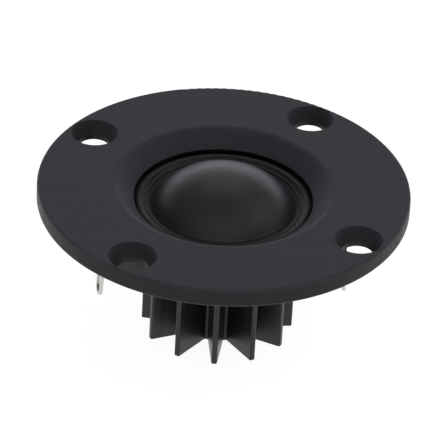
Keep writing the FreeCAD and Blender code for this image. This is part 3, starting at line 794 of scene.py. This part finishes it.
def rounded_loop(corners, steps=5):
    """The closed loop through (x, y, radius) corners, each turned into an arc."""
    loop = []
    for i, (x, y, radius) in enumerate(corners):
        corner = Vector((x, y))
        back = (Vector(corners[i - 1][:2]) - corner).normalized()
        ahead = (Vector(corners[(i + 1) % len(corners)][:2]) - corner).normalized()
        half = back.angle(ahead) / 2
        reach = radius / math.tan(half)
        centre = corner + (back + ahead).normalized() * (radius / math.sin(half))
        first = corner + back * reach - centre
        last = corner + ahead * reach - centre
        start = math.atan2(first.y, first.x)
        sweep = (math.atan2(last.y, last.x) - start + math.pi) % TURN - math.pi
        loop.extend(arc(centre, radius, start, start + sweep, steps))
    return loop


def circle_loop(x, y, radius, steps):
    """A hole's loop, wound the other way round from an outline."""
    return [
        (x + radius * math.cos(-TURN * i / steps), y + radius * math.sin(-TURN * i / steps))
        for i in range(steps)
    ]


def shrunk(loop, distance):
    """The loop moved into the material by a distance."""
    moved = []
    for i, here in enumerate(loop):
        here = Vector(here)
        first = (here - Vector(loop[i - 1])).normalized()
        second = (Vector(loop[(i + 1) % len(loop)]) - here).normalized()
        out = Vector((first.y + second.y, -first.x - second.x)) / (1 + first.dot(second))
        moved.append(here - out * distance)
    return moved


def slab(name, loops, low, high, low_edge, high_edge, place):
    """A plate between two heights from an outline and its holes, with rounded rims."""
    steps = 3
    layers = []
    for i in range(steps + 1):
        turn = math.pi / 2 * i / steps
        layers.append((low_edge * (1 - math.sin(turn)), low + low_edge * (1 - math.cos(turn))))
    for i in range(steps + 1):
        turn = math.pi / 2 * i / steps
        layers.append((high_edge * (1 - math.cos(turn)), high - high_edge * (1 - math.sin(turn))))
    mesh = bmesh.new()
    ends = {0: [], len(layers) - 1: []}
    for loop in loops:
        below = None
        for number, (inset, height) in enumerate(layers):
            ring = [mesh.verts.new(Vector(place(x, y, height)) * MM) for x, y in shrunk(loop, inset)]
            for i in range(len(ring)):
                j = (i + 1) % len(ring)
                if below:
                    mesh.faces.new((below[i], below[j], ring[j], ring[i]))
                if number in ends:
                    edge = mesh.edges.get((ring[i], ring[j])) or mesh.edges.new((ring[i], ring[j]))
                    ends[number].append(edge)
            below = ring
    for edges in ends.values():
        bmesh.ops.triangle_fill(mesh, use_beauty=True, use_dissolve=False, edges=edges)
    bmesh.ops.recalc_face_normals(mesh, faces=mesh.faces)
    data = bpy.data.meshes.new(name)
    mesh.to_mesh(data)
    mesh.free()
    for polygon in data.polygons:
        polygon.use_smooth = True
    return data


def turned(name, profile, steps, ripple=0.0, ripple_size=4.0):
    """A closed profile of (radius, height) points turned about Z, with a slight unevenness."""
    on_axis = 1e-6
    points, faces, rows = [], [], []
    for radius, height in profile:
        if radius < on_axis:
            rows.append([len(points)] * steps)
            points.append((0.0, 0.0, height))
            continue
        rows.append(list(range(len(points), len(points) + steps)))
        for i in range(steps):
            x = radius * math.cos(TURN * i / steps)
            y = radius * math.sin(TURN * i / steps)
            lift = ripple * noise.noise(Vector((x, y, 0)) / ripple_size)
            points.append((x, y, height + lift))
    for upper, lower in zip(rows, rows[1:] + rows[:1]):
        for i in range(steps):
            j = (i + 1) % steps
            face = []
            for corner in (upper[i], upper[j], lower[j], lower[i]):
                if corner not in face:
                    face.append(corner)
            if len(face) > 2:
                faces.append(face)
    return mesh_from(name, points, faces)


def tube(name, path, radius, sides=12):
    """A round tube with closed ends along a path in the XZ plane."""
    points, faces = [], []
    for i, (x, z) in enumerate(path):
        before, after = path[max(i - 1, 0)], path[min(i + 1, len(path) - 1)]
        along = Vector((after[0] - before[0], after[1] - before[1])).normalized()
        for k in range(sides):
            turn = TURN * k / sides
            out, across = radius * math.cos(turn), radius * math.sin(turn)
            points.append((x - along.y * out, across, z + along.x * out))
    for i in range(len(path) - 1):
        for k in range(sides):
            m = (k + 1) % sides
            faces.append((i * sides + k, i * sides + m, (i + 1) * sides + m, (i + 1) * sides + k))
    faces.append(tuple(range(sides)))
    faces.append(tuple(range(len(points) - sides, len(points))))
    return mesh_from(name, points, faces)


# --------------------------------------------------------------------------------------
# Pieces
# --------------------------------------------------------------------------------------
def sphere_for(base, height):
    return (base ** 2 + height ** 2) / (2 * height)


def dome_profile():
    """The dome's skin, with a small fillet where it turns out to its seat."""
    skin = []
    radius = sphere_for(DOME_RADIUS, DOME_TOP - FABRIC_TOP)
    middle = DOME_TOP - radius
    lean = math.asin(DOME_RADIUS / radius)
    reach = DOME_FOOT_ROUND * math.tan(lean / 2)
    rim_angle = lean - reach / radius
    steps = 72
    for i in range(steps + 1):
        turn = rim_angle * i / steps
        skin.append((radius * math.sin(turn), middle + radius * math.cos(turn)))
    skin.append((DOME_RIM, FABRIC_TOP))
    skin.append((DOME_RIM, FABRIC_LOW))
    inner = radius - FABRIC_THICKNESS
    inner_angle = math.acos((FABRIC_LOW - middle) / inner)
    for i in range(steps, -1, -1):
        turn = inner_angle * i / steps
        skin.append((inner * math.sin(turn), middle + inner * math.cos(turn)))
    return skin


def surround_height(radius):
    """The fabric's rise at a radius: a half roll, a low bead inside it, and a valley round the dome."""
    rise = 0.0
    for middle, half, height in (
        ((ROLL_INNER + ROLL_OUTER) / 2, (ROLL_OUTER - ROLL_INNER) / 2, ROLL_HEIGHT),
        (BEAD_RING_RADIUS, BEAD_RING_HALF, BEAD_RING_HEIGHT),
        (VALLEY_RADIUS, VALLEY_HALF, -VALLEY_DEPTH),
    ):
        place = (radius - middle) / half
        if abs(place) < 1:
            rise += height * (1 - place * place) ** ROLL_FULLNESS
    return rise


def surround_profile():
    """The surround's section, from the dome's seat to the clamped rim and back underneath."""
    steps = 96
    shaped = ROLL_OUTER + ROLL_MARGIN - SURROUND_INNER
    radii = [SURROUND_INNER + shaped * i / steps for i in range(steps + 1)]
    radii += [ROLL_OUTER + CLAMP_MARGIN, SURROUND_OUTER]
    top = [(radius, FABRIC_TOP + surround_height(radius)) for radius in radii]
    low = [(radius, FABRIC_LOW + surround_height(radius)) for radius in reversed(radii)]
    return top + low


def add_diaphragm():
    skin = coated_fabric("dome_fabric", *DOME_FABRIC, rough=(0.34, 0.46), shine=0.9)
    data = turned("dome_skin", dome_profile(), DIAPHRAGM_STEPS, DOME_RIPPLE, DOME_RIPPLE_SIZE)
    dome = add_piece("dome_skin", data, skin, "diaphragm_fabric", "dome")
    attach(dome, DIAPHRAGM)
    roll = coated_fabric("surround_fabric", *SURROUND_FABRIC, rough=(0.28, 0.40), shine=0.5)
    data = turned("surround_skin", surround_profile(), DIAPHRAGM_STEPS, ROLL_RIPPLE, ROLL_RIPPLE_SIZE)
    surround = add_piece("surround_skin", data, roll, "diaphragm_fabric", "surround")
    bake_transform(surround)
    follow_radius(surround, ROLL_OUTER, ROLL_INNER)


def follow_radius(made, fixed_radius, moving_radius):
    """Works out, for every point round the ring, a share between the fixed and the moving radius by its
    distance from the axis; the share is not used.
    """
    for vertex in made.data.vertices:
        radius = math.hypot(vertex.co.x, vertex.co.y) / MM
        share = (fixed_radius - radius) / (fixed_radius - moving_radius)
        share = min(1.0, max(0.0, share))


def add_flexible_leads():
    finish = stranded_wire()
    for name, side in (("positive", 1), ("negative", -1)):
        steps = 28
        path = []
        for i in range(steps + 1):
            share = i / steps
            sag = LEAD_SAG * 4 * share * (1 - share)
            path.append((side * (LEAD_START + (LEAD_END - LEAD_START) * share), LEAD_HEIGHT - sag))
        data = tube("tinsel_" + name, path, LEAD_RADIUS)
        lead = add_piece("tinsel_" + name, data, finish, "copper_lead", "flexible_lead_" + name)
        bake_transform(lead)


def fin_corners():
    """The heat sink's section: each fin's two roots and two tips, with their corner radii."""
    corners = []
    root_half = FIN_ROOT_THICKNESS / 2 * FIN_ROOT_TAPER
    tip_half = FIN_TIP_THICKNESS / 2
    for k in range(FIN_COUNT):
        turn = FIN_FIRST_ANGLE + TURN * k / FIN_COUNT
        out = Vector((math.cos(turn), math.sin(turn)))
        side = Vector((-out.y, out.x))
        root = math.sqrt(HUB_RADIUS ** 2 - root_half ** 2)
        for along, across, radius in (
            (root, -root_half, FIN_ROOT_FILLET), (FIN_RADIUS, -tip_half, FIN_TIP_ROUND),
            (FIN_RADIUS, tip_half, FIN_TIP_ROUND), (root, root_half, FIN_ROOT_FILLET),
        ):
            spot = out * along + side * across
            corners.append((spot.x, spot.y, radius))
    return corners


def add_heat_sink():
    low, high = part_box("heat_sink")
    loops = [rounded_loop(fin_corners()), circle_loop(0, 0, HUB_BORE_RADIUS, 96)]
    data = slab(
        "finned_sink", loops, low.z / MM, high.z / MM, SAWN_EDGE, GLUED_EDGE,
        lambda x, y, height: (x, y, height),
    )
    sink = add_piece("finned_sink", data, anodised(), "black_anodised_aluminium", "heat_sink")
    even_normals(sink)
    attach(sink, HOUSING)


def terminal_corners(half_width, foot_half, foot_height, tip, tip_radius):
    """A terminal's outline in Y and Z, from its prong to its tip and back."""
    shoulder = PEDESTAL_REAR - foot_height
    slope = foot_half - half_width
    side = [
        (PRONG_HALF, PRONG_TOP, STAMPED_CORNER), (PRONG_HALF, PEDESTAL_REAR, STAMPED_CORNER),
        (foot_half, PEDESTAL_REAR, STAMPED_CORNER), (foot_half, shoulder, STAMPED_CORNER),
        (half_width, shoulder - slope, SHOULDER_CORNER), (half_width, tip, tip_radius),
    ]
    mirrored = [(-y, z, radius) for y, z, radius in reversed(side)]
    return (side + mirrored)[::-1]


def stepped(loop, longest):
    """The loop with extra points along its straight runs, so that it can bend."""
    fuller = []
    for i, here in enumerate(loop):
        here, ahead = Vector(here), Vector(loop[(i + 1) % len(loop)])
        parts = max(1, math.ceil((ahead - here).length / longest))
        fuller.extend(here.lerp(ahead, k / parts) for k in range(parts))
    return fuller


def add_terminal(name, corners, holes, facing, lean, kink, node, finish):
    """A stamped terminal that leans out from its foot, and a little more beyond its kink."""
    half = TERMINAL_THICKNESS / 2

    def place(y, z, x):
        rise = max(0.0, BEND_START - z)
        out = lean * rise ** 2 / (rise + BEND_REACH) + KINK_SLOPE * max(0.0, kink - z)
        return (facing * (TERMINAL_PLACE + x + out), facing * y, z)

    loops = [stepped(loop, BEND_STEP) for loop in [rounded_loop(corners, 8)] + holes]
    data = slab(name, loops, -half, half, STAMPED_EDGE * PUNCH_SIDE_SHARE, STAMPED_EDGE, place)
    made = add_piece(name, data, finish, "tinned_brass", node)
    even_normals(made)
    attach(made, HOUSING)


def add_terminals():
    finish = tin_plate()
    lead_hole = circle_loop(0, LEAD_HOLE_HEIGHT, LEAD_HOLE_RADIUS, 32)
    latch_hole = circle_loop(0, LATCH_HOLE_HEIGHT, LATCH_HOLE_RADIUS, 40)
    tab = terminal_corners(TAB_HALF, TAB_FOOT_HALF, TAB_FOOT_HEIGHT, TAB_TIP, TAB_CORNER)
    add_terminal(
        "tab_stamping", tab, [lead_hole, latch_hole], 1, TAB_LEAN, LATCH_HOLE_HEIGHT,
        "terminal_tab_positive", finish,
    )
    slot = rounded_loop([
        (-SLOT_HALF, SLOT_TIP, SLOT_CORNER), (-SLOT_HALF, SLOT_FOOT, SLOT_CORNER),
        (SLOT_HALF, SLOT_FOOT, SLOT_CORNER), (SLOT_HALF, SLOT_TIP, SLOT_CORNER),
    ], 8)
    lug = terminal_corners(LUG_HALF, LUG_FOOT_HALF, LUG_FOOT_HEIGHT, LUG_TIP, LUG_CORNER)
    add_terminal(
        "lug_stamping", lug, [lead_hole, slot], -1, LUG_LEAN, LUG_TIP,
        "terminal_lug_negative", finish,
    )


def add_solder():
    finish = solder_metal()
    face = TERMINAL_PLACE - TERMINAL_THICKNESS / 2
    for name, side in (("positive", 1), ("negative", -1)):
        rings, steps = 14, 36
        points, faces = [], []
        for i in range(rings + 1):
            share = i / rings
            radius = SOLDER_FOOT_RADIUS * (1 - share) + SOLDER_TOP_RADIUS * share
            height = SOLDER_HEIGHT * share ** SOLDER_FULLNESS + SOLDER_LIFT
            for k in range(steps):
                turn = TURN * k / steps
                way = Vector((math.cos(turn), math.sin(turn), side))
                uneven = 1 + SOLDER_UNEVEN * noise.noise(way * SOLDER_LUMP_SIZE)
                points.append((
                    side * (face - height),
                    radius * uneven * math.cos(turn),
                    LEAD_HOLE_HEIGHT + radius * uneven * math.sin(turn),
                ))
        for i in range(rings):
            for k in range(steps):
                m = (k + 1) % steps
                faces.append((i * steps + k, i * steps + m, (i + 1) * steps + m, (i + 1) * steps + k))
        faces.append(tuple(range(steps)))
        faces.append(tuple(range(len(points) - steps, len(points))))
        data = mesh_from("solder_blob_" + name, points, faces)
        blob = add_piece("solder_blob_" + name, data, finish, "solder", "solder_joint_" + name)
        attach(blob, HOUSING)


def add_glue_bead():
    """The hand-laid epoxy in the channel round the cup, lumpy and wetted up both walls."""
    _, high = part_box("retaining_glue")
    floor = high.z / MM
    steps, across = 720, 16
    points, faces = [], []
    for i in range(steps):
        turn = TURN * i / steps
        way = Vector((math.cos(turn), math.sin(turn), 0))
        spot = way * BEAD_MIDDLE
        swell = noise.noise(spot / BEAD_LUMP_SIZE)
        small_swell = noise.noise(spot / BEAD_SMALL_LUMP_SIZE + Vector((3, 1, 2)))
        swell += BEAD_SMALL_LUMP_SHARE * small_swell
        crown = BEAD_HEIGHT * (1 + BEAD_SWELL * swell)
        drift = BEAD_DRIFT * noise.noise(spot / 1.4 + Vector((0, 7, 0)))
        for j in range(across + 1):
            share = j / across
            place = 2 * share - 1
            hump = 1 - BEAD_CROWN * (place - drift) ** 2
            patchy = 1 + 0.8 * noise.noise(spot / 1.1 + Vector((place, 0, 5)))
            wet = BEAD_WETTING * abs(place) ** 5 * patchy
            small = BEAD_ROUGHNESS * noise.noise(Vector((spot.x * 1.6, spot.y * 1.6, place * 1.5)))
            radius = BEAD_INNER + (BEAD_OUTER - BEAD_INNER) * share
            lift = max(BEAD_THINNEST, crown * hump + wet + small)
            points.append((way.x * radius, way.y * radius, floor - lift))
        points.append((way.x * BEAD_OUTER, way.y * BEAD_OUTER, floor))
        points.append((way.x * BEAD_INNER, way.y * BEAD_INNER, floor))
    row = across + 3
    for i in range(steps):
        n = (i + 1) % steps
        for j in range(row):
            k = (j + 1) % row
            faces.append((i * row + j, i * row + k, n * row + k, n * row + j))
    data = mesh_from("epoxy_bead", points, faces)
    bead = add_piece("epoxy_bead", data, epoxy(), "black_epoxy", "retaining_glue")
    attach(bead, HOUSING)


def dress_cad_nodes():
    """Materials for the CAD nodes whose shape stays."""
    flange = moulded_plastic(
        "flange_plastic", FLANGE_STEEP_PAINTED_SHADE, *FLANGE_FLAT,
        grain_size=0.17, depth=0.030, rough=(0.44, 0.60), edge_round=0.06,
    )
    ring = moulded_plastic(
        "ring_plastic", RING_STEEP_PAINTED_SHADE, *RING_FLAT,
        grain_size=0.32, depth=0.010, rough=(0.36, 0.48), edge_round=0.10,
    )
    wire = enamelled_wire()
    amber = glue("amber_glue", *GLUE_AMBER, rough=(0.12, 0.25))
    grey = glue("thermal_glue", *GLUE_GREY, rough=(0.45, 0.6))
    looks = {
        "faceplate": flange, "terminal_ring": ring, "diaphragm_ring": ring,
        "front_gasket": foam(), "dome_glue": amber, "magnet_glue": amber,
        "coil_former": former_foil(), "voice_coil": copper_winding(), "damping_pad": felt(),
        "pole_piece": zinc_plate("zinc_pole", edge_round=0.1),
        "motor_cup": zinc_plate("zinc_cup", edge_round=0.5),
        "magnet": nickel_plate(), "heat_sink_glue": grey,
        "fixed_lead_positive": wire, "fixed_lead_negative": wire,
    }
    for name, look in looks.items():
        slots = nodes[name].data.materials
        slots.clear()
        slots.append(look)


add_camera()
add_world()
add_floor()
add_softbox("back_softbox", **BACK_SOFTBOX)
add_softbox("side_softbox", **SIDE_SOFTBOX)
scene.view_settings.view_transform = "Standard"

add_diaphragm()
add_flexible_leads()
add_heat_sink()
add_terminals()
add_solder()
add_glue_bead()
dress_cad_nodes()

bpy.context.view_layer.update()
